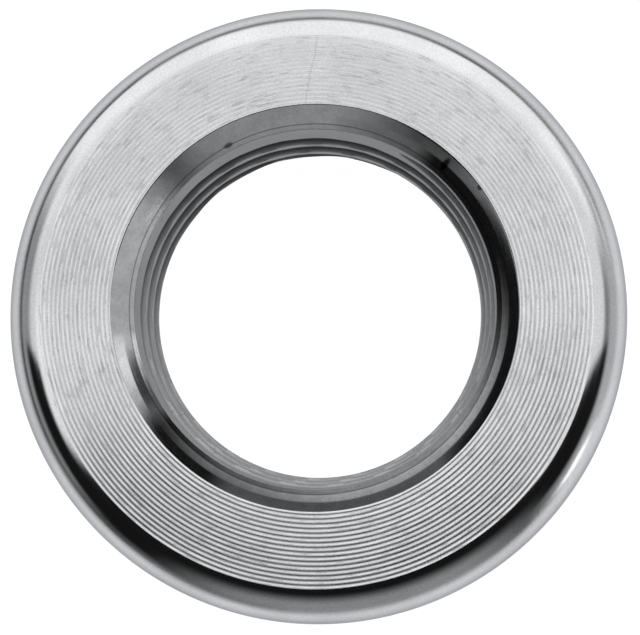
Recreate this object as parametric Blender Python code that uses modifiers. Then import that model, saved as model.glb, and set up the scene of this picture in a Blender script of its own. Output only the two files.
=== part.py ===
"""Threaded shaft collar: a turned ring with two radial set screws, each pressing on a soft steel thread pad.

Units are metres, +Z is up. The origin is on the bore axis, in the plane of the rear face.
Each radial station has a local frame: its origin is on the rim, and its local +Z points at the bore axis.
"""

import math

import bmesh
import bpy

MM = 0.001

# Ring
OUTER_RADIUS = 16.0 * MM
WIDTH = 7.0 * MM
SHOULDER_RADIUS = 2.2 * MM
COUNTERSINK_RADIUS = 10.2 * MM
REAR_CHAMFER = 0.6 * MM

# Bore thread, M20 x 1.5
THREAD_PITCH = 1.5 * MM
THREAD_ROOT_RADIUS = 10.0 * MM
BORE_RADIUS = 9.19 * MM
THREAD_START_DEG = 48.75
THREAD_START_DEPTH = 1.75 * MM
THREAD_TURNS = 4

# Set screws, M4 x 4
STATIONS = {"left": -135.0, "right": -45.0}
SCREW_PITCH = 0.7 * MM
SCREW_RADIUS = 1.95 * MM
SCREW_ROOT_RADIUS = 1.56 * MM
SCREW_LENGTH = 4.0 * MM
SCREW_RECESS = 0.5 * MM
SCREW_POINT_RADIUS = 1.25 * MM
SOCKET_ACROSS_FLATS = 2.0 * MM
SOCKET_DEPTH = 1.6 * MM
SOCKET_POINT_INSET = 0.9 * MM
SOCKET_POINT_DEPTH = 0.3 * MM
EDGE_BREAK = 0.25 * MM
TAP_TURNS = math.ceil((SCREW_RECESS + SCREW_LENGTH) / SCREW_PITCH)
SCREW_TURNS = TAP_TURNS + 1

# Tapped holes and pads
TAP_DRILL_RADIUS = 1.65 * MM
MOUTH_CHAMFER = 0.45 * MM
RUNNING_GAP = 0.1 * MM
PAD_RADIUS = TAP_DRILL_RADIUS - RUNNING_GAP
PAD_OVERHANG = 0.3 * MM

# Cutters
CUTTER_OVERHANG = 1.0 * MM
THREAD_HALF_ANGLE = math.radians(30)
FLANK_OVERRUN = 0.04 * MM
MOUTH_CLEARANCE = 0.15 * MM

# Fineness
RING_STEPS = 48
SMALL_STEPS = 16
SMALL_OFFSET_DEG = 90.0 / SMALL_STEPS
ARC_STEPS = 5
SHARP_ANGLE = math.radians(35)
MERGE = 1e-6

STEEL = ("turned_steel", (0.62, 0.62, 0.63), 0.28)
BLACK_STEEL = ("black_alloy_steel", (0.10, 0.10, 0.11), 0.42)
SOFT_STEEL = ("soft_steel", (0.52, 0.52, 0.53), 0.34)


def clear_scene():
    for obj in list(bpy.data.objects):
        bpy.data.objects.remove(obj, do_unlink=True)


def new_collection(name):
    collection = bpy.data.collections.new(name)
    bpy.context.scene.collection.children.link(collection)
    return collection


def metal(name, colour, roughness):
    material = bpy.data.materials.new(name)
    material.use_nodes = True
    shader = material.node_tree.nodes["Principled BSDF"]
    shader.inputs["Base Color"].default_value = (*colour, 1.0)
    shader.inputs["Metallic"].default_value = 1.0
    shader.inputs["Roughness"].default_value = roughness
    material.diffuse_color = (*colour, 1.0)
    return material


def add_object(name, mesh, collection, material=None):
    obj = bpy.data.objects.new(name, mesh)
    collection.objects.link(obj)
    if material:
        mesh.materials.append(material)
    return obj


def as_cutter(obj):
    obj.hide_render = True
    obj.display_type = "WIRE"
    return obj


def outline(name, points, start_deg, closed):
    """A mesh of edges through (radius, height) points, in the half-plane at start_deg round local Z."""
    mesh = bpy.data.meshes.new(name)
    across, along = math.cos(math.radians(start_deg)), math.sin(math.radians(start_deg))
    count = len(points)
    edges = [(i, (i + 1) % count) for i in range(count if closed else count - 1)]
    mesh.from_pydata([(radius * across, radius * along, height) for radius, height in points], edges, [])
    return mesh


def add_screw(obj, steps, pitch=0.0, turns=1):
    screw = obj.modifiers.new("turn", "SCREW")
    screw.axis = "Z"
    screw.steps = steps
    screw.render_steps = steps
    screw.screw_offset = pitch
    screw.iterations = turns
    screw.use_merge_vertices = pitch == 0.0
    screw.merge_threshold = MERGE
    return screw


def turned(name, points, steps, collection, material=None, closed=False, start_deg=0.0):
    """A turned piece. An open profile starts and ends on the axis."""
    obj = add_object(name, outline(name, points, start_deg, closed), collection, material)
    add_screw(obj, steps)
    return obj


def baked(obj):
    """The object's mesh with its modifiers applied."""
    graph = bpy.context.evaluated_depsgraph_get()
    return bpy.data.meshes.new_from_object(obj.evaluated_get(graph))


def shade_smooth(obj):
    """Applies the modifiers and shades the piece smooth, apart from its sharp edges."""
    mesh = baked(obj)
    obj.modifiers.clear()
    obj.data = mesh
    mesh.shade_smooth()
    mesh.set_sharp_from_angle(angle=SHARP_ANGLE)


def cut(obj, *cutters):
    """Cuts all the cutters away in one Boolean, which takes a collection of them."""
    group = bpy.data.collections.new("cutters_of_" + obj.name)
    for cutter in cutters:
        group.objects.link(cutter)
    boolean = obj.modifiers.new("cut", "BOOLEAN")
    boolean.operation = "DIFFERENCE"
    boolean.solver = "EXACT"
    boolean.operand_type = "COLLECTION"
    boolean.collection = group
    shade_smooth(obj)


def thread_cutter(name, section, pitch, turns, steps, collection, start_deg):
    """A closed right-hand helical solid, swept from a closed section at start_deg."""
    guide = add_object(name + "_guide", outline(name, section, start_deg, closed=True), collection)
    add_screw(guide, steps, pitch, turns)
    mesh = baked(guide)
    bpy.data.objects.remove(guide, do_unlink=True)
    work = bmesh.new()
    work.from_mesh(mesh)
    bmesh.ops.holes_fill(work, edges=[edge for edge in work.edges if edge.is_boundary])
    bmesh.ops.recalc_face_normals(work, faces=work.faces)
    work.to_mesh(mesh)
    work.free()
    mesh.name = name
    return as_cutter(add_object(name, mesh, collection))


def v_section(root, crest, flat, height):
    """A 60 degree V groove section from its flat root to just past the thread's crests, then straight on."""
    way_out = math.copysign(1.0, crest - root)
    mouth = crest + way_out * FLANK_OVERRUN
    open_end = mouth + way_out * MOUTH_CLEARANCE
    half = flat / 2 + abs(mouth - root) * math.tan(THREAD_HALF_ANGLE)
    return [
        (root, height + flat / 2),
        (mouth, height + half),
        (open_end, height + half),
        (open_end, height - half),
        (mouth, height - half),
        (root, height - flat / 2),
    ]


def arc(centre_radius, centre_height, radius, start_deg, end_deg):
    """Points along a quarter-round, both ends included."""
    turn = [math.radians(start_deg + (end_deg - start_deg) * i / ARC_STEPS) for i in range(ARC_STEPS + 1)]
    return [(centre_radius + radius * math.cos(a), centre_height + radius * math.sin(a)) for a in turn]


def ring_profile():
    """The ring's closed section, from the front of the bore out over the rim and back under it."""
    shoulder_centre = OUTER_RADIUS - SHOULDER_RADIUS
    countersink = COUNTERSINK_RADIUS - BORE_RADIUS
    front = arc(shoulder_centre, WIDTH - SHOULDER_RADIUS, SHOULDER_RADIUS, 90, 0)
    rear = arc(shoulder_centre, SHOULDER_RADIUS, SHOULDER_RADIUS, 0, -90)
    return [
        (BORE_RADIUS, WIDTH - countersink),
        (COUNTERSINK_RADIUS, WIDTH),
        *front,
        *rear,
        (BORE_RADIUS + REAR_CHAMFER, 0.0),
        (BORE_RADIUS, REAR_CHAMFER),
    ]


def bore_thread_cutter(collection):
    """The bore's thread groove. It starts just under the front countersink and runs out of the rear."""
    start_height = WIDTH - THREAD_START_DEPTH - THREAD_TURNS * THREAD_PITCH
    section = v_section(THREAD_ROOT_RADIUS, BORE_RADIUS, THREAD_PITCH / 8, start_height)
    return thread_cutter(
        "bore_thread_cutter", section, THREAD_PITCH, THREAD_TURNS, RING_STEPS, collection, THREAD_START_DEG
    )


def bore_cutter(collection):
    """The bore's clear cylinder, which trims the pads flush with the thread crests."""
    top, bottom = WIDTH + CUTTER_OVERHANG, -CUTTER_OVERHANG
    points = [(0.0, top), (BORE_RADIUS, top), (BORE_RADIUS, bottom), (0.0, bottom)]
    return as_cutter(turned("bore_cutter", points, RING_STEPS, collection))


def place(obj, station_deg):
    """Puts a piece's local frame on the rim, with its +Z towards the bore axis."""
    angle = math.radians(station_deg)
    obj.location = (OUTER_RADIUS * math.cos(angle), OUTER_RADIUS * math.sin(angle), WIDTH / 2)
    obj.rotation_euler = (0.0, -math.pi / 2, angle)


def tap_cutters(name, station_deg, collection):
    """A tap drill hole through the wall with a countersunk mouth, and the thread in its outer part."""
    depth = OUTER_RADIUS - BORE_RADIUS + CUTTER_OVERHANG
    wide = TAP_DRILL_RADIUS + MOUTH_CHAMFER + CUTTER_OVERHANG
    drill = turned(
        "tap_drill_" + name,
        [
            (0.0, depth),
            (TAP_DRILL_RADIUS, depth),
            (TAP_DRILL_RADIUS, MOUTH_CHAMFER),
            (wide, -CUTTER_OVERHANG),
            (0.0, -CUTTER_OVERHANG),
        ],
        SMALL_STEPS,
        collection,
        start_deg=SMALL_OFFSET_DEG,
    )
    section = v_section(SCREW_RADIUS + RUNNING_GAP, TAP_DRILL_RADIUS, SCREW_PITCH / 8, 0.0)
    thread = thread_cutter(
        "tap_thread_" + name, section, SCREW_PITCH, TAP_TURNS, SMALL_STEPS, collection, -SMALL_OFFSET_DEG
    )
    for cutter in (as_cutter(drill), thread):
        place(cutter, station_deg)
    return [drill, thread]


def collar_ring(collection, material, cutters):
    ring = turned("collar_ring", ring_profile(), RING_STEPS, collection, material, closed=True)
    cut(ring, *cutters)
    return ring


def socket_cutter(name, collection):
    """A hexagonal key socket with a drilled conical floor."""
    corner = SOCKET_ACROSS_FLATS / math.sqrt(3)
    floor = SCREW_RECESS + SOCKET_DEPTH
    outside = SCREW_RECESS - CUTTER_OVERHANG
    work = bmesh.new()
    bmesh.ops.create_cone(
        work, cap_ends=True, segments=6, radius1=corner, radius2=corner, depth=floor - outside
    )
    bmesh.ops.translate(work, verts=work.verts, vec=(0, 0, (floor + outside) / 2))
    floor_face = [face for face in work.faces if face.normal.z > 0.9]
    bmesh.ops.inset_region(work, faces=floor_face, thickness=SOCKET_POINT_INSET, depth=SOCKET_POINT_DEPTH)
    mesh = bpy.data.meshes.new(name)
    work.to_mesh(mesh)
    work.free()
    return as_cutter(add_object(name, mesh, collection))


def set_screw(name, station_deg, collection, cutters, material):
    """A headless flat-point screw. Its thread is in step with the thread of its hole."""
    outer = SCREW_RECESS
    inner = SCREW_RECESS + SCREW_LENGTH
    chamfer = SCREW_RADIUS - SCREW_POINT_RADIUS
    screw = turned(
        "set_screw_" + name,
        [
            (0.0, inner),
            (SCREW_POINT_RADIUS, inner),
            (SCREW_RADIUS, inner - chamfer),
            (SCREW_RADIUS, outer + EDGE_BREAK),
            (SCREW_RADIUS - EDGE_BREAK, outer),
            (0.0, outer),
        ],
        SMALL_STEPS,
        collection,
        material,
        start_deg=SMALL_OFFSET_DEG,
    )
    section = v_section(SCREW_ROOT_RADIUS, SCREW_RADIUS, SCREW_PITCH / 4, -SCREW_PITCH / 2)
    groove = thread_cutter(
        "screw_thread_" + name, section, SCREW_PITCH, SCREW_TURNS, SMALL_STEPS, cutters, -SMALL_OFFSET_DEG
    )
    socket = socket_cutter("socket_" + name, cutters)
    for piece in (screw, groove, socket):
        place(piece, station_deg)
    cut(screw, groove, socket)
    return screw


def thread_pad(name, station_deg, collection, material, bore_cutters):
    """A round soft steel pad behind the screw, tapped at its tip together with the bore."""
    back = SCREW_RECESS + SCREW_LENGTH + RUNNING_GAP
    tip = OUTER_RADIUS - BORE_RADIUS + PAD_OVERHANG
    pad = turned(
        "thread_pad_" + name,
        [
            (0.0, tip),
            (PAD_RADIUS, tip),
            (PAD_RADIUS, back + EDGE_BREAK),
            (PAD_RADIUS - EDGE_BREAK, back),
            (0.0, back),
        ],
        SMALL_STEPS,
        collection,
        material,
        start_deg=SMALL_OFFSET_DEG,
    )
    place(pad, station_deg)
    cut(pad, *bore_cutters)
    return pad


def build():
    clear_scene()
    parts = new_collection("shaft_collar")
    cutters = new_collection("cutters")
    steel, black_steel, soft_steel = metal(*STEEL), metal(*BLACK_STEEL), metal(*SOFT_STEEL)
    bore_thread = bore_thread_cutter(cutters)
    bore = bore_cutter(cutters)
    ring_cuts = [bore_thread]
    for name, station_deg in STATIONS.items():
        ring_cuts += tap_cutters(name, station_deg, cutters)
        set_screw(name, station_deg, parts, cutters, black_steel)
        thread_pad(name, station_deg, parts, soft_steel, [bore, bore_thread])
    collar_ring(parts, steel, ring_cuts)


build()
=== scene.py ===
"""Looks of the threaded shaft collar: a finely turned ring, its set screws and its thread pads.

Lengths are in metres, +Z is up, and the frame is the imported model's own. Azimuths are in degrees
from +X, counterclockwise seen from above. Every round surface is a grid of rows round an axis.
"""

import math
from collections import namedtuple

import bpy
import numpy as np
from mathutils import Euler, Matrix, Vector


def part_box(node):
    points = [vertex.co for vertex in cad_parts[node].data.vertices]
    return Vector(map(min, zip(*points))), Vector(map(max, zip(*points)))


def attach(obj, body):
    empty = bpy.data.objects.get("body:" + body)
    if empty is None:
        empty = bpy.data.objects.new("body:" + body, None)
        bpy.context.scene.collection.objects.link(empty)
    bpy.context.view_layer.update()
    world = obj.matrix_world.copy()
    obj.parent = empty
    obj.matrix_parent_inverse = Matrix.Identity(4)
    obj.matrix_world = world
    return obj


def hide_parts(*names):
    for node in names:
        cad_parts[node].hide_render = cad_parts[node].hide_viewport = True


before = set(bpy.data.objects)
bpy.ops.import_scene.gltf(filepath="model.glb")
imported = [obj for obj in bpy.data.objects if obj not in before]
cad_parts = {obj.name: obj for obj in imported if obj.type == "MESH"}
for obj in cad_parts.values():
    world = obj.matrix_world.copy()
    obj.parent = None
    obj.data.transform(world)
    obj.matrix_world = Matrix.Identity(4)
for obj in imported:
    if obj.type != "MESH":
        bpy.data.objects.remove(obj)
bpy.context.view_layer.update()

MM = 0.001
TURN = 360.0
ROUND_OFF = 1e-6

# Ring
RING_LOW, RING_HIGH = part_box("collar_ring")
OUTER_RADIUS = (RING_HIGH.x - RING_LOW.x) / 2
WIDTH = RING_HIGH.z - RING_LOW.z
SHOULDER_RADIUS = 2.2 * MM
COUNTERSINK_RADIUS = 10.2 * MM
REAR_CHAMFER = 0.6 * MM

# Bore thread, M20 x 1.5
THREAD_PITCH = 1.5 * MM
THREAD_ROOT_RADIUS = 10.0 * MM
BORE_RADIUS = 9.19 * MM
THREAD_DEPTH = THREAD_ROOT_RADIUS - BORE_RADIUS
THREAD_START_DEG = 48.75
THREAD_START_DEPTH = 1.75 * MM
THREAD_TURNS = 4
LEAD_IN_DEG = 14.0
THREAD_HALF_ANGLE = math.radians(30)

# Set screws, M4 x 4
STATIONS = {"left": -135.0, "right": -45.0}
SCREW_PITCH = 0.7 * MM
SCREW_RADIUS = 1.95 * MM
SCREW_ROOT_RADIUS = 1.56 * MM
SCREW_LENGTH = 4.0 * MM
SCREW_RECESS = 0.5 * MM
SCREW_POINT_RADIUS = 1.25 * MM
SOCKET_ACROSS_FLATS = 2.0 * MM
SOCKET_DEPTH = 1.6 * MM
SOCKET_POINT_DEPTH = 0.3 * MM
SOCKET_POINT_SHARE = 0.1
EDGE_BREAK = 0.25 * MM
TAP_DRILL_RADIUS = 1.65 * MM
MOUTH_CHAMFER = 0.45 * MM
RUNNING_GAP = 0.1 * MM
PAD_GAP = 0.015 * MM
TAP_TURNS = math.ceil((SCREW_RECESS + SCREW_LENGTH) / SCREW_PITCH)
CUTTER_OVERHANG = 1.0 * MM

# Front countersink, turned in three cuts that meet at creases. Each one says how deep it ends under the
# face, and how far its slope is from 45 degrees at its upper and at its lower end.
COUNTERSINK_DEPTH = COUNTERSINK_RADIUS - BORE_RADIUS
COUNTERSINK_CUTS = (
    (0.44 * MM, 0.0, 0.012),
    (0.80 * MM, 0.062, 0.066),
    (COUNTERSINK_DEPTH, 0.036, 0.044),
)
LOWER_CREASE_DEPTH = COUNTERSINK_CUTS[1][0]
EDGE_ROUND = 0.016 * MM

# Turning marks of the faces
FEED = 0.225 * MM
MARK_DEPTH = 0.010 * MM
ROWS_A_MARK = 6
REAR_ROWS_A_MARK = 3

# Fineness of the meshes
RING_STEPS = 256
BORE_ROW = 0.065 * MM
CONE_ROW = 0.035 * MM
CONE_ROWS_REACH = 1.5 * COUNTERSINK_DEPTH
SHOULDER_ROWS = 20
SHOULDER_EASE = 1.5
SHOULDER_CORNER = math.radians(4)
SMALL_STEPS = 48
SMALL_ROW = 0.05 * MM
SMALL_START_DEG = -5.625
SHARP_ANGLE = math.radians(50)

# Finishes of the ring, in the order of its material slots, and how a face of the mesh is told apart
FACE, SHOULDER, CONE, THREAD, TAPPED = range(5)
FACE_TOLERANCE = 1.2 * MARK_DEPTH
CONE_TOLERANCE = 0.05 * MM


def azimuths(steps):
    return np.arange(steps) * (2 * math.pi / steps)


def spaced(start, end, step):
    """Values from start to end, both included, no further apart than step."""
    return np.linspace(start, end, math.ceil(abs(end - start) / step - ROUND_OFF) + 1)


def rows_mesh(name, radii, heights, angles, closed):
    """A mesh of rows round +Z, from arrays of (row, angle).

    A closed one joins its last row to its first, and an open one has a cap at each end.
    """
    rows, steps = radii.shape
    points = np.stack([radii * np.cos(angles), radii * np.sin(angles), heights], axis=-1)
    index = np.arange(rows * steps).reshape(rows, steps)
    upper = index if closed else index[:-1]
    lower = np.roll(index, -1, axis=0) if closed else index[1:]
    quads = np.stack([upper, lower, np.roll(lower, -1, axis=1), np.roll(upper, -1, axis=1)], axis=-1)
    faces = quads.reshape(-1, 4).tolist()
    if not closed:
        faces += [index[0].tolist(), index[-1][::-1].tolist()]
    mesh = bpy.data.meshes.new(name)
    mesh.from_pydata(points.reshape(-1, 3).tolist(), [], faces)
    mesh.shade_smooth()
    return mesh


def capped_mesh(name, radii, heights):
    """A capped solid along +Z, from rows that run upward. They are reversed, so that its faces point out."""
    heights = np.broadcast_to(heights, radii.shape)
    return rows_mesh(name, radii[::-1], heights[::-1], azimuths(radii.shape[1]), closed=False)


def add_object(name, mesh, materials=()):
    obj = bpy.data.objects.new(name, mesh)
    bpy.context.scene.collection.objects.link(obj)
    for finish in materials:
        mesh.materials.append(finish)
    return obj


def groove_depth(offset, depth, flat):
    """Depth of a 60 degree V groove at this distance from its middle."""
    half_mouth = flat / 2 + depth * math.tan(THREAD_HALF_ANGLE)
    return np.clip((half_mouth - np.abs(offset)) / math.tan(THREAD_HALF_ANGLE), 0.0, depth)


# ---------------------------------------------------------------- ring


def bore_thread_depth(heights, angles):
    """How far the bore's thread groove is cut beyond the crests, at each height and angle.

    The lead-in is a scratch that the tap leaves before its first whole turn, deepening as it goes.
    """
    fraction = ((THREAD_START_DEG - np.degrees(angles)) % TURN) / TURN
    lead_in = np.clip((fraction * TURN - (TURN - LEAD_IN_DEG)) / LEAD_IN_DEG, 0.0, 1.0)
    depth = np.zeros(np.broadcast(heights, angles).shape)
    for turn in range(-1, THREAD_TURNS + 1):
        middle = WIDTH - THREAD_START_DEPTH - THREAD_PITCH * (fraction + turn)
        missing = 0.0 if turn >= 0 else THREAD_DEPTH * (1 - lead_in)
        groove = groove_depth(heights - middle, THREAD_DEPTH, THREAD_PITCH / 8) - missing
        depth = np.maximum(depth, groove)
    return depth


def front_cone(depth):
    """Radius of the front countersink at this depth under the face, with its edge a little rounded."""
    radius = COUNTERSINK_RADIUS - depth + np.clip(EDGE_ROUND - depth, 0.0, None) ** 2 / (2 * EDGE_ROUND)
    start = 0.0
    for end, steep_above, steep_below in COUNTERSINK_CUTS:
        run = np.clip(depth - start, 0.0, end - start)
        radius = radius + steep_above * run + (steep_below - steep_above) * run**2 / (2 * (end - start))
        start = end
    return radius


def bore_rows(angles):
    """The bore from its rear countersink up to its front one, with the rows finer near the front."""
    fine_from = WIDTH - CONE_ROWS_REACH
    height = np.concatenate([spaced(0.0, fine_from, BORE_ROW)[:-1], spaced(fine_from, WIDTH, CONE_ROW)])
    height = height[:, None]
    cone = np.maximum(BORE_RADIUS + REAR_CHAMFER - height, front_cone(WIDTH - height))
    thread = BORE_RADIUS + bore_thread_depth(height, angles[None, :])
    return np.maximum(cone, thread), np.broadcast_to(height, thread.shape)


def turned_rows(radius, height, angles):
    """Rows that are the same all round."""
    shape = (len(radius), len(angles))
    return np.broadcast_to(radius[:, None], shape), np.broadcast_to(height[:, None], shape)


def face_rows(angles, inner, surface, inward_sign, rows_a_mark):
    """A facing cut's turning marks, from the inner radius out to the shoulder."""
    outer = OUTER_RADIUS - SHOULDER_RADIUS
    marks = round((outer - inner) / FEED)
    radius = np.linspace(inner, outer, marks * rows_a_mark + 1)[1:-1]
    phase = (radius - inner) / (outer - inner) * marks % 1.0
    depth = MARK_DEPTH * (1 - np.cos(2 * math.pi * phase)) / 2
    return turned_rows(radius, surface + inward_sign * depth, angles)


def shoulder_rows(angles, centre_height, outward_sign):
    """A quarter-round from a face to the rim, with its rows closest together beside the face.

    It leaves the face at a slight corner, so it is a little short of a whole quarter turn.
    """
    start = math.pi / 2 - SHOULDER_CORNER
    turn = start * (1 - np.linspace(0.0, 1.0, SHOULDER_ROWS + 1) ** SHOULDER_EASE)
    outward = (np.cos(turn) - math.cos(start)) / (1 - math.cos(start))
    radius = OUTER_RADIUS - SHOULDER_RADIUS + SHOULDER_RADIUS * outward
    height = centre_height + outward_sign * SHOULDER_RADIUS * np.sin(turn) / math.sin(start)
    return turned_rows(radius, height, angles)


def ring_mesh():
    angles = azimuths(RING_STEPS)
    rear_face = face_rows(angles, BORE_RADIUS + REAR_CHAMFER, 0.0, 1.0, REAR_ROWS_A_MARK)
    stretches = [
        bore_rows(angles),
        face_rows(angles, COUNTERSINK_RADIUS + EDGE_ROUND / 2, WIDTH, -1.0, ROWS_A_MARK),
        shoulder_rows(angles, WIDTH - SHOULDER_RADIUS, 1.0),
        tuple(rows[::-1] for rows in shoulder_rows(angles, SHOULDER_RADIUS, -1.0)),
        tuple(rows[::-1] for rows in rear_face),
    ]
    radii = np.concatenate([radius for radius, _ in stretches])
    heights = np.concatenate([height for _, height in stretches])
    # The rows run up the bore and down the outside, so the faces point out.
    mesh = rows_mesh("collar", radii, heights, angles, closed=True)
    for face in mesh.polygons:
        face.material_index = ring_region(face.center)
    return mesh


def ring_region(point):
    """Which of the ring's finishes a point of its surface has."""
    radius = math.hypot(point.x, point.y)
    under_front = WIDTH - point.z
    if radius > OUTER_RADIUS - SHOULDER_RADIUS:
        return SHOULDER
    if min(under_front, point.z) < FACE_TOLERANCE and radius > BORE_RADIUS + REAR_CHAMFER:
        return FACE
    off_front_cone = abs(radius - COUNTERSINK_RADIUS + under_front)
    off_rear_cone = abs(radius - BORE_RADIUS - REAR_CHAMFER + point.z)
    if under_front < COUNTERSINK_DEPTH and off_front_cone < CONE_TOLERANCE:
        return CONE
    if point.z < REAR_CHAMFER and off_rear_cone < CONE_TOLERANCE:
        return CONE
    return THREAD


# ---------------------------------------------------------------- screws, pads and their holes


def helix_offset(heights, angles, pitch, first, turns, start_deg):
    """Distance along the axis to the nearest turn of a right-hand helix that starts at height first."""
    fraction = ((np.degrees(angles) - start_deg) % TURN) / TURN
    nearest = np.clip(np.round((heights - first) / pitch - fraction), 0, turns - 1)
    return heights - first - pitch * (nearest + fraction)


def tapped_hole_mesh(name):
    """The solid that a tapped hole takes away, with its mouth at the rim and its far end in the bore."""
    angles = azimuths(SMALL_STEPS)[None, :]
    far_end = OUTER_RADIUS - BORE_RADIUS + CUTTER_OVERHANG
    heights = spaced(-CUTTER_OVERHANG, far_end, SMALL_ROW)[:, None]
    offset = helix_offset(heights, angles, SCREW_PITCH, 0.0, TAP_TURNS, SMALL_START_DEG)
    depth = SCREW_RADIUS + RUNNING_GAP - TAP_DRILL_RADIUS
    bore = TAP_DRILL_RADIUS + groove_depth(offset, depth, SCREW_PITCH / 8)
    mouth = TAP_DRILL_RADIUS + MOUTH_CHAMFER - heights
    return capped_mesh(name, np.maximum(bore, mouth), heights)


def screw_mesh(name):
    """A headless flat-point set screw along +Z, point first."""
    angles = azimuths(SMALL_STEPS)[None, :]
    outer, inner = SCREW_RECESS, SCREW_RECESS + SCREW_LENGTH
    heights = spaced(outer, inner, SMALL_ROW)[:, None]
    first = -SCREW_PITCH / 2
    offset = helix_offset(heights, angles, SCREW_PITCH, first, TAP_TURNS + 1, SMALL_START_DEG)
    body = SCREW_RADIUS - groove_depth(offset, SCREW_RADIUS - SCREW_ROOT_RADIUS, SCREW_PITCH / 4)
    point = SCREW_POINT_RADIUS + inner - heights
    back = SCREW_RADIUS - EDGE_BREAK + heights - outer
    return capped_mesh(name, np.minimum(body, np.minimum(point, back)), heights)


def prism_mesh(name, corners, radius, start, end, point=0.0):
    """A prism along +Z from start to end. point is how far a drill's blunt point goes beyond the end."""
    rows = [(radius, start), (radius, end)]
    if point:
        rows.append((radius * SOCKET_POINT_SHARE, end + point))
    radii = np.array([[row_radius] * corners for row_radius, _ in rows])
    heights = np.array([[row_height] for _, row_height in rows])
    return capped_mesh(name, radii, heights)


def at_station(obj, station_deg):
    """Puts a piece's local frame on the rim, with its +Z towards the bore axis."""
    angle = math.radians(station_deg)
    rim = Vector((OUTER_RADIUS * math.cos(angle), OUTER_RADIUS * math.sin(angle), WIDTH / 2))
    inward = Euler((0.0, -math.pi / 2, angle)).to_matrix().to_4x4()
    obj.matrix_world = Matrix.Translation(rim) @ inward
    return obj


def combine(obj, cutter, operation):
    """Applies a Boolean of obj with cutter, and removes the cutter."""
    boolean = obj.modifiers.new("cut", "BOOLEAN")
    boolean.operation = operation
    boolean.solver = "MANIFOLD"
    boolean.object = cutter
    graph = bpy.context.evaluated_depsgraph_get()
    mesh = bpy.data.meshes.new_from_object(obj.evaluated_get(graph))
    obj.modifiers.clear()
    obj.data = mesh
    bpy.data.objects.remove(cutter, do_unlink=True)


def show(piece, body, node):
    piece.data.set_sharp_from_angle(angle=SHARP_ANGLE)
    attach(piece, body)
    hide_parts(node)


def thread_pad(side, station_deg, ring):
    """The pad is a plug of the ring's own wall, so its tip carries on the bore's thread."""
    pad = add_object("fine_thread_pad_" + side, ring.data.copy())
    back = SCREW_RECESS + SCREW_LENGTH + RUNNING_GAP
    tip = OUTER_RADIUS - BORE_RADIUS + CUTTER_OVERHANG
    plug = prism_mesh("plug", SMALL_STEPS, TAP_DRILL_RADIUS - PAD_GAP, back, tip)
    combine(pad, at_station(add_object("plug", plug), station_deg), "INTERSECT")
    show(pad, "pad_" + side, "thread_pad_" + side)


def tapped_hole(ring, station_deg, finishes):
    """Cuts one hole in the ring, whose wall gets the tapped finish."""
    hole = tapped_hole_mesh("tapped_hole")
    for face in hole.polygons:
        face.material_index = TAPPED
    combine(ring, at_station(add_object("tapped_hole", hole, finishes), station_deg), "DIFFERENCE")


def set_screw(side, station_deg, black):
    screw = add_object("fine_set_screw_" + side, screw_mesh("screw"), [black])
    at_station(screw, station_deg)
    corner_radius = SOCKET_ACROSS_FLATS / math.sqrt(3)
    floor_depth = SCREW_RECESS + SOCKET_DEPTH
    socket = prism_mesh("socket", 6, corner_radius, -CUTTER_OVERHANG, floor_depth, SOCKET_POINT_DEPTH)
    combine(screw, at_station(add_object("socket", socket, [black]), station_deg), "DIFFERENCE")
    show(screw, "screw_" + side, "set_screw_" + side)


# ---------------------------------------------------------------- materials

# Noise scales of the patterns in the steel, in features per metre. The two TURN scales say how often a
# streak or a dash changes on its way round the axis. STREAK_SLANT is how much height counts beside the
# radius in the streaks, so that they run round the bore, the slopes and the rim as well.
STREAK_SCALE = 30000.0
STREAK_TURN_SCALE = 6.0
STREAK_SLANT = 1.7
GRAIN_SCALE = 9000.0
CLOUD_SCALE = 260.0
DASH_SCALE = 2.0 / FEED
DASH_TURN_SCALE = 13.0
SCUFF_SCALE = 1400.0
SMEAR_SCALE = 1500.0
BLACK_CLOUD_SCALE = 900.0
BLACK_GRAIN_SCALE = 6000.0

# The steel is slightly cool: its red and blue against its green, and its colour at a grazing angle
COOL_RED, COOL_BLUE = 0.985, 1.025
GRAZING_TINT = (0.97, 0.99, 1.03)

# One scratch on the face, from beside the countersink out to the shoulder on the +Y side, as (x, y)
SCRATCH_START = (-0.45 * MM, 10.2 * MM)
SCRATCH_END = (0.20 * MM, 13.8 * MM)
SCRATCH_WANDER = 0.20 * MM
SCRATCH_WANDER_SCALE = 900.0
SCRATCH_CORE, SCRATCH_REACH = 0.03 * MM, 0.09 * MM

# Radii between which a painted highlight makes the face brighter, near the shoulder
PAINTED_HIGHLIGHT_FROM, PAINTED_HIGHLIGHT_TO = 12.9 * MM, 13.8 * MM

# Dark spots painted on the front countersink, the first two of them the painted shade of a small pit and of
# the notch where the thread starts: azimuth, depth under the face, size round the axis and along the slope,
# and how much of the steel's brightness is left in the middle
DARK_SPOTS = (
    (118.0, 0.77 * MM, 0.34 * MM, 0.20 * MM, 0.30),
    (47.0, 0.45 * MM, 0.22 * MM, 0.60 * MM, 0.10),
    (35.0, 0.05 * MM, 0.20 * MM, 0.20 * MM, 0.25),
)
DARK_SPOT_CORE = 0.4


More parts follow.
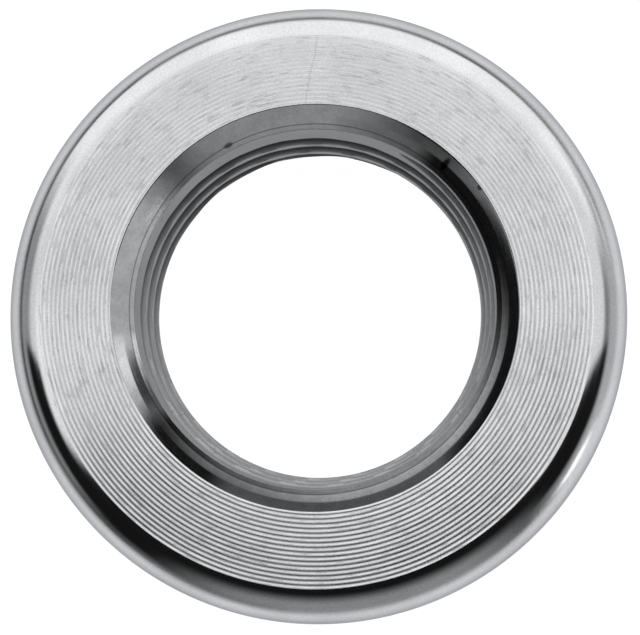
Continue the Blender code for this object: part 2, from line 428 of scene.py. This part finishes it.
class Graph:
    """A short way to add and join the nodes of one material or world."""

    def __init__(self, owner):
        owner.use_nodes = True
        self.tree = owner.node_tree

    def add(self, kind, **settings):
        node = self.tree.nodes.new(kind)
        for name, value in settings.items():
            setattr(node, name, value)
        return node

    def link(self, source, target):
        self.tree.links.new(source, target)

    def feed(self, socket, value):
        if isinstance(value, bpy.types.NodeSocket):
            self.link(value, socket)
        else:
            socket.default_value = value

    def math(self, operation, *values):
        node = self.add("ShaderNodeMath", operation=operation)
        for socket, value in zip(node.inputs, values):
            self.feed(socket, value)
        return node.outputs[0]

    def times(self, first, second):
        return self.math("MULTIPLY", first, second)

    def apart(self, first, second):
        return self.math("ABSOLUTE", self.math("SUBTRACT", first, second))

    def spread(self, value, low, high, to_low=0.0, to_high=1.0, smooth=True):
        """Value mapped from low..high to to_low..to_high, held at the ends."""
        node = self.add("ShaderNodeMapRange", interpolation_type="SMOOTHSTEP" if smooth else "LINEAR")
        for socket, number in zip(node.inputs, (value, low, high, to_low, to_high)):
            self.feed(socket, number)
        return node.outputs[0]

    def noise(self, vector, scale=1.0, detail=2.0, roughness=0.5):
        node = self.add("ShaderNodeTexNoise")
        self.feed(node.inputs["Vector"], vector)
        node.inputs["Scale"].default_value = scale
        node.inputs["Detail"].default_value = detail
        node.inputs["Roughness"].default_value = roughness
        return node.outputs[0]

    def split(self, vector):
        node = self.add("ShaderNodeSeparateXYZ")
        self.link(vector, node.inputs[0])
        return node.outputs

    def join(self, x, y, z):
        node = self.add("ShaderNodeCombineXYZ")
        for socket, value in zip(node.inputs, (x, y, z)):
            self.feed(socket, value)
        return node.outputs[0]

    def bump(self, height, distance):
        node = self.add("ShaderNodeBump")
        node.inputs["Distance"].default_value = distance
        node.inputs["Strength"].default_value = 1.0
        self.feed(node.inputs["Height"], height)
        return node.outputs[0]


def material(name):
    made = bpy.data.materials.new(name)
    graph = Graph(made)
    return made, graph, graph.tree.nodes["Principled BSDF"]


# A point of the surface: object coordinates, height, radius, and the cosine and sine of its azimuth
Point = namedtuple("Point", "place z radius cosine sine")


def surface_point(graph):
    place = graph.add("ShaderNodeTexCoord").outputs["Object"]
    x, y, z = graph.split(place)
    radius = graph.math("SQRT", graph.math("ADD", graph.times(x, x), graph.times(y, y)))
    return Point(place, z, radius, graph.math("DIVIDE", x, radius), graph.math("DIVIDE", y, radius))


def turned_noise(graph, point, turn_scale, across, across_scale, roughness):
    """Noise drawn out round the axis: slow along the turn and fast across it."""
    vector = graph.join(
        graph.times(point.cosine, turn_scale),
        graph.times(point.sine, turn_scale),
        graph.times(across, across_scale),
    )
    return graph.noise(vector, detail=3.0, roughness=roughness)


def steel(name, shade, roughness, streak_roughness, streak_height, edge_tint, detail):
    """Cut steel: streaks that run round the axis, a fine grain and cloudy patches.

    edge_tint is how much it reflects at a grazing angle. detail takes the shade and the roughness so far,
    and gives them back with what is special about this finish.
    """
    made, graph, shader = material(name)
    point = surface_point(graph)
    across = graph.math("ADD", point.radius, graph.times(point.z, STREAK_SLANT))
    streaks = turned_noise(graph, point, STREAK_TURN_SCALE, across, STREAK_SCALE, 0.5)
    grain = graph.noise(point.place, scale=GRAIN_SCALE)
    cloud = graph.noise(point.place, scale=CLOUD_SCALE, detail=3.0)
    level = graph.spread(cloud, 0.3, 0.7, shade * 0.95, shade * 1.05)
    level = graph.times(level, graph.spread(grain, 0.3, 0.7, 0.95, 1.05))
    smoothest, roughest = roughness - streak_roughness / 2, roughness + streak_roughness
    rough = graph.spread(streaks, 0.3, 0.7, smoothest, roughest)
    level, rough = detail(graph, shader, point, level, rough)
    colour = graph.join(graph.times(level, COOL_RED), level, graph.times(level, COOL_BLUE))
    graph.link(colour, shader.inputs["Base Color"])
    graph.link(rough, shader.inputs["Roughness"])
    graph.link(graph.bump(streaks, streak_height), shader.inputs["Normal"])
    shader.inputs["Metallic"].default_value = 1.0
    shader.inputs["Specular Tint"].default_value = (*(edge_tint * tint for tint in GRAZING_TINT), 1.0)
    return made


def plain_detail(graph, shader, point, level, rough):
    return level, rough


def turned_detail(graph, shader, point, level, rough):
    """Brushed along the turning marks, with torn dashes in them, small scuffs, a scratch and a painted
    highlight near the shoulder.
    """
    shader.inputs["Anisotropic"].default_value = 0.6
    shader.inputs["Anisotropic Rotation"].default_value = 0.25
    tangent = graph.add("ShaderNodeTangent", direction_type="RADIAL", axis="Z")
    graph.link(tangent.outputs[0], shader.inputs["Tangent"])
    turns = turned_noise(graph, point, DASH_TURN_SCALE, point.radius, DASH_SCALE, 0.6)
    dashes = graph.spread(turns, 0.53, 0.68)
    bright_dashes = graph.spread(turns, 0.45, 0.32)
    blots = graph.noise(point.place, scale=SCUFF_SCALE, detail=4.0, roughness=0.65)
    scuffs = graph.spread(blots, 0.56, 0.70)
    level = graph.times(level, graph.spread(dashes, 0.0, 1.0, 1.0, 0.80))
    level = graph.times(level, graph.spread(bright_dashes, 0.0, 1.0, 1.0, 1.06))
    level = graph.times(level, graph.spread(scuffs, 0.0, 1.0, 1.0, 0.90))
    level = graph.times(level, graph.spread(face_scratch(graph, point), 0.0, 1.0, 1.0, 0.88))
    # Painted highlight: the face's colour is made brighter towards the shoulder.
    level = graph.times(level, graph.spread(point.radius, PAINTED_HIGHLIGHT_FROM, PAINTED_HIGHLIGHT_TO, 1.0, 1.12))
    return level, graph.math("ADD", rough, graph.spread(dashes, 0.0, 1.0, 0.0, 0.06))


def face_scratch(graph, point):
    """1 on the face's one scratch, which wanders a little, and 0 away from it."""
    x, y, _ = graph.split(point.place)
    (start_x, start_y), (end_x, end_y) = SCRATCH_START, SCRATCH_END
    line = graph.spread(y, start_y, end_y, start_x, end_x, smooth=False)
    waves = graph.noise(point.place, scale=SCRATCH_WANDER_SCALE, detail=3.0)
    wander = graph.spread(waves, 0.3, 0.7, -SCRATCH_WANDER, SCRATCH_WANDER, smooth=False)
    off_line = graph.apart(x, graph.math("ADD", line, wander))
    on_its_side = graph.spread(y, 0.0, 1.0 * MM)
    return graph.times(graph.spread(off_line, SCRATCH_REACH, SCRATCH_CORE), on_its_side)


def shoulder_detail(graph, shader, point, level, rough):
    """Bright and polished where it leaves the face, and duller towards the rim, where painted shade makes it
    darker.
    """
    # Painted shade: the shoulder's colour is darkened towards the rim.
    shade = graph.spread(point.z, WIDTH - 1.3 * MM, WIDTH - 0.3 * MM, 0.85, 1.0)
    duller = graph.spread(point.z, WIDTH - 0.5 * MM, WIDTH - 0.1 * MM, 0.20, 0.0)
    return graph.times(level, shade), graph.math("ADD", rough, duller)


def dark_spot(graph, point, azimuth_deg, depth, round_axis, along_slope, left):
    """How bright the countersink is round one dark spot: left in its middle and 1 away from it."""
    azimuth = math.radians(azimuth_deg)
    radius = COUNTERSINK_RADIUS - depth
    spot = (radius * math.cos(azimuth), radius * math.sin(azimuth), WIDTH - depth)
    mapping = graph.add("ShaderNodeMapping", vector_type="TEXTURE")
    graph.link(point.place, mapping.inputs["Vector"])
    mapping.inputs["Location"].default_value = spot
    mapping.inputs["Rotation"].default_value = (0.0, -math.pi / 4, azimuth)
    mapping.inputs["Scale"].default_value = (along_slope, round_axis, round_axis)
    length = graph.add("ShaderNodeVectorMath", operation="LENGTH")
    graph.link(mapping.outputs[0], length.inputs[0])
    return graph.spread(length.outputs["Value"], DARK_SPOT_CORE, 1.0, left, 1.0)


def cone_detail(graph, shader, point, level, rough):
    """Smears of dried cutting oil, a line of painted shade along the lower crease, and a few painted dark
    spots, two of them the painted shade of a pit and of a notch.
    """
    smear = graph.noise(point.place, scale=SMEAR_SCALE, detail=5.0, roughness=0.7)
    level = graph.times(level, graph.spread(smear, 0.35, 0.70, 1.05, 0.88))
    # Painted shade: a dark line along the lower crease.
    off_crease = graph.apart(point.z, WIDTH - LOWER_CREASE_DEPTH)
    level = graph.times(level, graph.spread(off_crease, 0.01 * MM, 0.04 * MM, 0.5, 1.0))
    # Painted dark spots, two of them painted shade, of a pit and of the notch at the thread's start.
    for spot in DARK_SPOTS:
        level = graph.times(level, dark_spot(graph, point, *spot))
    return level, rough


def thread_detail(graph, shader, point, level, rough):
    """Painted shade darkens the grooves the deeper they go, together with the black cutting oil they hold.
    """
    # Painted shade and black cutting oil: darker deeper in the grooves.
    oil_and_groove_shade = graph.spread(point.radius, BORE_RADIUS + 0.03 * MM, BORE_RADIUS + 0.30 * MM, 1.0, 0.40)
    return graph.times(level, oil_and_groove_shade), rough


def black_steel():
    """Black oxide with an oily gloss, worn brighter by the grain."""
    made, graph, shader = material("black_alloy_steel")
    place = graph.add("ShaderNodeTexCoord").outputs["Object"]
    cloud = graph.noise(place, scale=BLACK_CLOUD_SCALE, detail=4.0)
    shade = graph.spread(cloud, 0.3, 0.75, 0.035, 0.10)
    graph.link(graph.join(shade, shade, graph.times(shade, 1.1)), shader.inputs["Base Color"])
    graph.link(graph.spread(cloud, 0.3, 0.7, 0.28, 0.45), shader.inputs["Roughness"])
    grain = graph.noise(place, scale=BLACK_GRAIN_SCALE)
    graph.link(graph.bump(grain, 0.002 * MM), shader.inputs["Normal"])
    shader.inputs["Metallic"].default_value = 1.0
    return made


def ring_finishes():
    """The ring's five steels, in the order of its material slots."""
    return [
        steel("turned_face", 0.49, 0.22, 0.06, 0.0015 * MM, 1.0, turned_detail),
        steel("polished_shoulder", 0.62, 0.08, 0.03, 0.0003 * MM, 0.5, shoulder_detail),
        steel("bored_cone", 0.62, 0.05, 0.03, 0.0003 * MM, 1.0, cone_detail),
        steel("tapped_bore", 0.40, 0.45, 0.10, 0.001 * MM, 0.28, thread_detail),
        steel("tapped_hole", 0.35, 0.35, 0.10, 0.001 * MM, 1.0, plain_detail),
    ]


# ---------------------------------------------------------------- stage

BACKDROP_LIGHT = 0.97
FLOOR_SIZE = 4.0
FLOOR_SHADE = 0.18
FLOOR_GLOW = 0.95

# Camera, almost straight above the front face. Blender takes a lens and a sensor in millimetres.
EYE = Vector((1.898, -4.063, 47.508)) * MM
AIM = Vector((0.344, -0.662, 7.0)) * MM
CAMERA_UP = Vector((0.003205, 0.996499, 0.083545))
SENSOR_WIDTH = 36.0
FOCAL_LENGTH = 46.18
NEAREST = 1.0 * MM

# One light or gap of the studio's dome: its bearing, clockwise from +Y seen from above, half its width and
# how soft its sides are, how far from straight up its top and its bottom are, and how soft those are, all
# in degrees, and its brightness.
Panel = namedtuple("Panel", "bearing half_width soft_sides top bottom soft_top soft_bottom light")
NO_BOTTOM = 200
# The least that a direction's level and upward parts count as, where they are divided by
LEAST_LEVEL, LEAST_UP = 1e-4, 1e-3

# The broad panel ends at the sides and behind, and below it the surroundings are dim.
SURROUNDINGS = (
    Panel(101, 27, 12, 48, NO_BOTTOM, 5, 1, 0.30),
    Panel(263, 35, 14, 53, NO_BOTTOM, 7, 1, 0.38),
    Panel(350, 68, 16, 75, NO_BOTTOM, 4, 1, 0.52),
)
# Patches of the broad panel: a dimmer one in front, and others that light the sides of the face.
PATCHES = (
    Panel(212, 26, 12, 2, 18, 1, 3, 0.90),
    Panel(268, 16, 8, 6, 38, 4, 5, 1.20),
    Panel(103, 12, 10, 5, 23, 3, 2, 1.30),
    Panel(74, 15, 8, 0, 46, 1, 8, 1.02),
)
# Low lights in front and at the sides, the last two of them small and bright.
LOW_LIGHTS = (
    Panel(172, 30, 18, 48, NO_BOTTOM, 15, 1, 0.36),
    Panel(90, 32, 14, 62, NO_BOTTOM, 6, 1, 0.58),
    Panel(262, 22, 12, 66, NO_BOTTOM, 6, 1, 0.42),
    Panel(225, 30, 12, 74, NO_BOTTOM, 8, 1, 0.18),
    Panel(117.5, 4, 2.5, 78, 82, 1, 1, 8.0),
    Panel(67, 5, 5, 73.5, 79, 1, 1, 1.1),
)
# A dark strip just above the horizon, from the left round the back.
DARK_STRIP = (
    Panel(273, 52, 5, 76.3, 84.7, 0.8, 2.5, 0.008),
    Panel(352, 30, 8, 79.0, 86.3, 0.8, 3.0, 0.11),
    Panel(36, 15, 7, 76.3, 84.3, 0.8, 2.7, 0.008),
    Panel(60, 8, 5, 79.2, 86.0, 0.8, 2.0, 0.06),
)


class Dome(Graph):
    """Light from all round, laid in layers over a broad panel that is brighter towards the back.

    side and back are how far a direction leans towards +X and +Y, as slopes from straight up.
    """

    def __init__(self, world):
        super().__init__(world)
        self.x, self.y, z = self.split(self.add("ShaderNodeTexCoord").outputs["Generated"])
        self.from_up = self.times(self.math("ARCCOSINE", z), math.degrees(1))
        level = self.math("SQRT", self.math("SUBTRACT", 1.0, self.times(z, z)))
        self.level = self.math("MAXIMUM", level, LEAST_LEVEL)
        up = self.math("MAXIMUM", z, LEAST_UP)
        self.side = self.math("DIVIDE", self.x, up)
        self.back = self.math("DIVIDE", self.y, up)
        self.light = self.spread(self.back, 0.0, 0.9, 0.92, 1.35)

    def sector(self, bearing_deg, half_deg, soft_deg):
        """1 within half_deg of a bearing."""
        bearing = math.radians(bearing_deg)
        sideways = self.times(self.x, math.sin(bearing))
        backward = self.times(self.y, math.cos(bearing))
        facing = self.math("DIVIDE", self.math("ADD", sideways, backward), self.level)
        outside = math.cos(math.radians(half_deg + soft_deg))
        inside = math.cos(math.radians(half_deg - soft_deg))
        return self.spread(facing, outside, inside)

    def belt(self, top_deg, bottom_deg, soft_top, soft_bottom):
        """1 between two angles from straight up."""
        top = self.spread(self.from_up, top_deg - soft_top, top_deg + soft_top)
        bottom = self.spread(self.from_up, bottom_deg + soft_bottom, bottom_deg - soft_bottom)
        return self.times(top, bottom)

    def lay(self, mask, light):
        keep = self.math("SUBTRACT", 1.0, mask)
        self.light = self.math("ADD", self.times(self.light, keep), self.times(mask, light))

    def lay_panels(self, panels):
        for panel in panels:
            sector = self.sector(panel.bearing, panel.half_width, panel.soft_sides)
            belt = self.belt(panel.top, panel.bottom, panel.soft_top, panel.soft_bottom)
            self.lay(self.times(sector, belt), panel.light)


def studio():
    """Soft studio light: a broad panel above and behind, dim surroundings and dark gaps between them."""
    world = bpy.data.worlds.new("studio")
    bpy.context.scene.world = world
    dome = Dome(world)
    dome.lay_panels(SURROUNDINGS)
    # The broad panel is brightest in the middle of its front edge. Beyond that edge the front is dark, and
    # the dark reaches further back at the sides.
    middle = dome.spread(dome.times(dome.side, dome.side), 0.09, 0.01)
    dome.lay(dome.times(middle, dome.spread(dome.back, 0.32, 0.05)), 2.0)
    shifted = dome.math("ADD", dome.side, 0.04)
    rise = dome.math("MINIMUM", dome.times(dome.times(shifted, shifted), 1.5), 0.15)
    beyond_edge = dome.spread(dome.math("SUBTRACT", dome.back, rise), -0.16, -0.23)
    dome.lay(dome.times(beyond_edge, dome.spread(dome.back, 0.3, 0.1)), 0.010)
    dome.lay_panels(PATCHES)
    dome.lay_panels(LOW_LIGHTS)
    dome.lay_panels(DARK_STRIP)
    # The pale table round the object, at the horizon and below it.
    dome.lay(dome.belt(86.5, NO_BOTTOM, 3, 1), 0.60)
    dome.lay(dome.belt(90, NO_BOTTOM, 1, 1), 1.0)
    # Seen directly, the studio is a plain pale backdrop.
    dome.lay(dome.add("ShaderNodeLightPath").outputs["Is Camera Ray"], BACKDROP_LIGHT)
    background = dome.tree.nodes["Background"]
    background.inputs["Color"].default_value = (1.0, 1.0, 1.0, 1.0)
    dome.link(dome.light, background.inputs["Strength"])


def floor():
    """A pale floor under the object, bright enough to look white."""
    made, _, shader = material("pale_floor")
    shader.inputs["Base Color"].default_value = (FLOOR_SHADE, FLOOR_SHADE, FLOOR_SHADE, 1.0)
    shader.inputs["Roughness"].default_value = 0.6
    shader.inputs["Emission Color"].default_value = (1.0, 1.0, 1.0, 1.0)
    shader.inputs["Emission Strength"].default_value = FLOOR_GLOW
    bpy.ops.mesh.primitive_plane_add(size=FLOOR_SIZE, location=(0.0, 0.0, RING_LOW.z))
    plane = bpy.context.object
    plane.name = "floor"
    plane.data.materials.append(made)


def camera():
    data = bpy.data.cameras.new("camera")
    data.sensor_width = SENSOR_WIDTH
    data.lens = FOCAL_LENGTH
    data.clip_start = NEAREST
    obj = bpy.data.objects.new("camera", data)
    bpy.context.scene.collection.objects.link(obj)
    forward = (AIM - EYE).normalized()
    right = forward.cross(CAMERA_UP).normalized()
    turn = Matrix((right, right.cross(forward), -forward)).transposed()
    obj.matrix_world = Matrix.Translation(EYE) @ turn.to_4x4()
    bpy.context.scene.camera = obj


def build():
    black = black_steel()
    finishes = ring_finishes()
    ring = add_object("turned_collar", ring_mesh(), finishes)
    for side, station_deg in STATIONS.items():
        thread_pad(side, station_deg, ring)
        tapped_hole(ring, station_deg, finishes)
        set_screw(side, station_deg, black)
    show(ring, "collar", "collar_ring")
    studio()
    floor()
    camera()
    bpy.context.scene.view_settings.view_transform = "Standard"


build()
